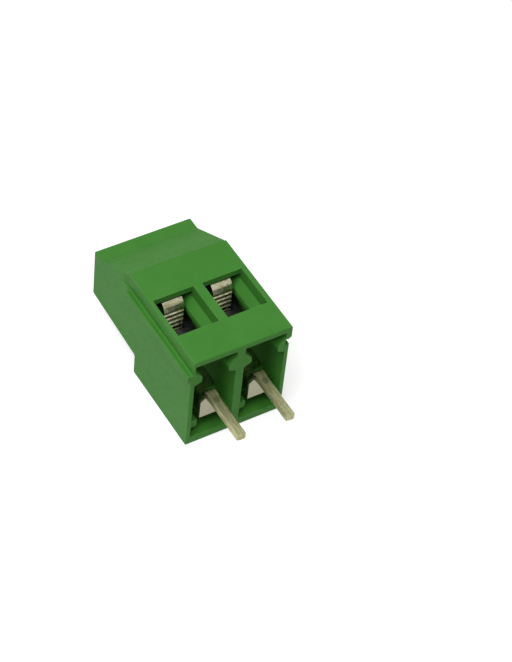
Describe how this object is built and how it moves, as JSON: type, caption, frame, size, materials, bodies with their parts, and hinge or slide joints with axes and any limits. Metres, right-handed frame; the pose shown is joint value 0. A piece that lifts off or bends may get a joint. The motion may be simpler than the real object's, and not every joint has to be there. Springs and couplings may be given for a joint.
{
  "type": "pcb terminal block",
  "caption": "Screw terminal block for soldering to a circuit board, with square wire windows, a sloped shoulder, rising clamps and solder pins.",
  "frame": {"origin": "on the board plane, midway between the two solder pins, on the underside of the wall between the poles", "axes": "+X along the row of poles, +Y from the wire side to the back, +Z away from the board; the pins point down -Z"},
  "size_m": [0.0107, 0.0112, 0.0236],
  "materials": {
    "green_plastic": "satin moulded",
    "tinned_strip": "tin-plated",
    "plated_cage": "nickel-plated",
    "plated_screw": "zinc-plated"
  },
  "bodies": {
    "block": {"housing": "green_plastic", "contact_strip_left": "tinned_strip", "contact_strip_right": "tinned_strip"},
    "screw_left": {"terminal_screw_left": "plated_screw"},
    "cage_left": {"clamp_cage_left": "plated_cage"},
    "screw_right": {"terminal_screw_right": "plated_screw"},
    "cage_right": {"clamp_cage_right": "plated_cage"}
  },
  "joints": [
    {"name": "turn_screw_left", "type": "hinge", "parent": "block", "child": "screw_left", "pos_m": [-0.00254, 0, 0.012], "axis": [0, 0, 1], "range_deg": [0, 2520]},
    {"name": "raise_cage_left", "type": "slide", "parent": "block", "child": "cage_left", "axis": [0, 0, 1], "range_m": [-0.0035, 0]},
    {"name": "turn_screw_right", "type": "hinge", "parent": "block", "child": "screw_right", "pos_m": [0.00254, 0, 0.012], "axis": [0, 0, 1], "range_deg": [0, 2520]},
    {"name": "raise_cage_right", "type": "slide", "parent": "block", "child": "cage_right", "axis": [0, 0, 1], "range_m": [-0.0035, 0]}
  ],
  "couplings": [
    {"joint": "turn_screw_left", "follows": "raise_cage_left", "rad_per_m": -12566},
    {"joint": "turn_screw_right", "follows": "raise_cage_right", "rad_per_m": -12566}
  ]
}
